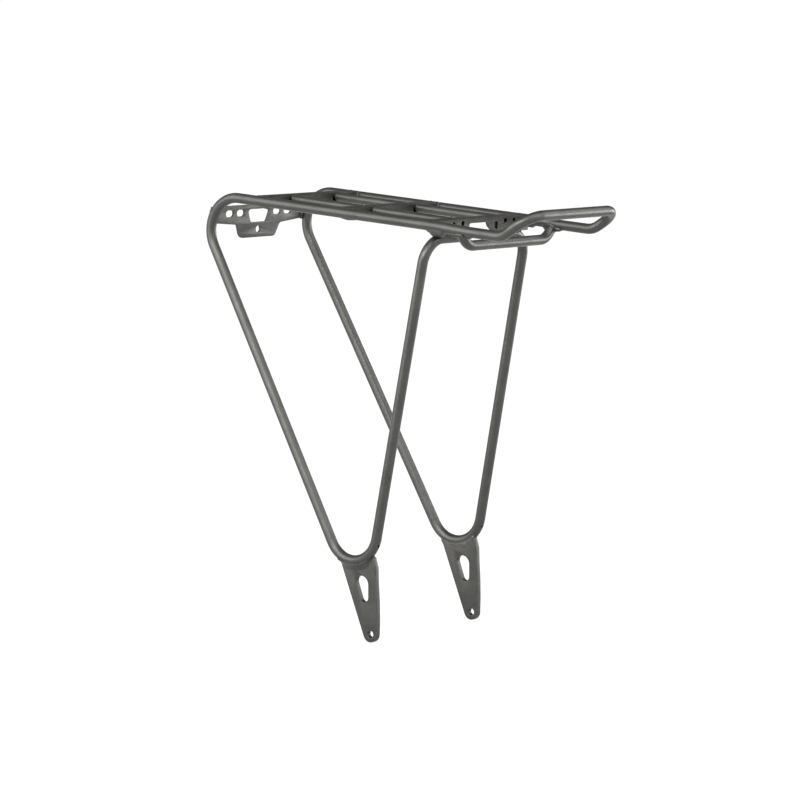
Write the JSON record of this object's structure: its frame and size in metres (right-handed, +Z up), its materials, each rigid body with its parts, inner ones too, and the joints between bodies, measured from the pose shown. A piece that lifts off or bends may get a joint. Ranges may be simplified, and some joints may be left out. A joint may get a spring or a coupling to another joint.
{
  "type": "bicycle rear rack",
  "caption": "Bicycle rear luggage rack bent from round tube, with a narrow slatted deck, a raised rear loop, tapered dropouts and a slotted front mounting plate.",
  "frame": {"origin": "midway between the two lower eyelets, on the line through their centres", "axes": "+Z up, +X to the rear of the bicycle, +Y to its right side, so the left dropout is at -Y"},
  "size_m": [0.393, 0.1734, 0.4302],
  "materials": {
    "tube_paint": "satin graphite powder coat",
    "plate_paint": "satin graphite powder coat"
  },
  "bodies": {
    "root": {"loop_tube": "tube_paint", "rear_leg_left": "tube_paint", "rear_leg_right": "tube_paint", "rear_stay_tube": "tube_paint", "cross_plate_front": "plate_paint", "cross_plate_middle": "plate_paint", "rear_light_bracket": "plate_paint", "deck_rod_front_left": "tube_paint", "deck_rod_front_right": "tube_paint", "deck_rod_rear_left": "tube_paint", "deck_rod_rear_right": "tube_paint", "front_mounting_plate": "plate_paint", "dropout_left": "plate_paint", "dropout_right": "plate_paint"}
  },
  "joints": []
}
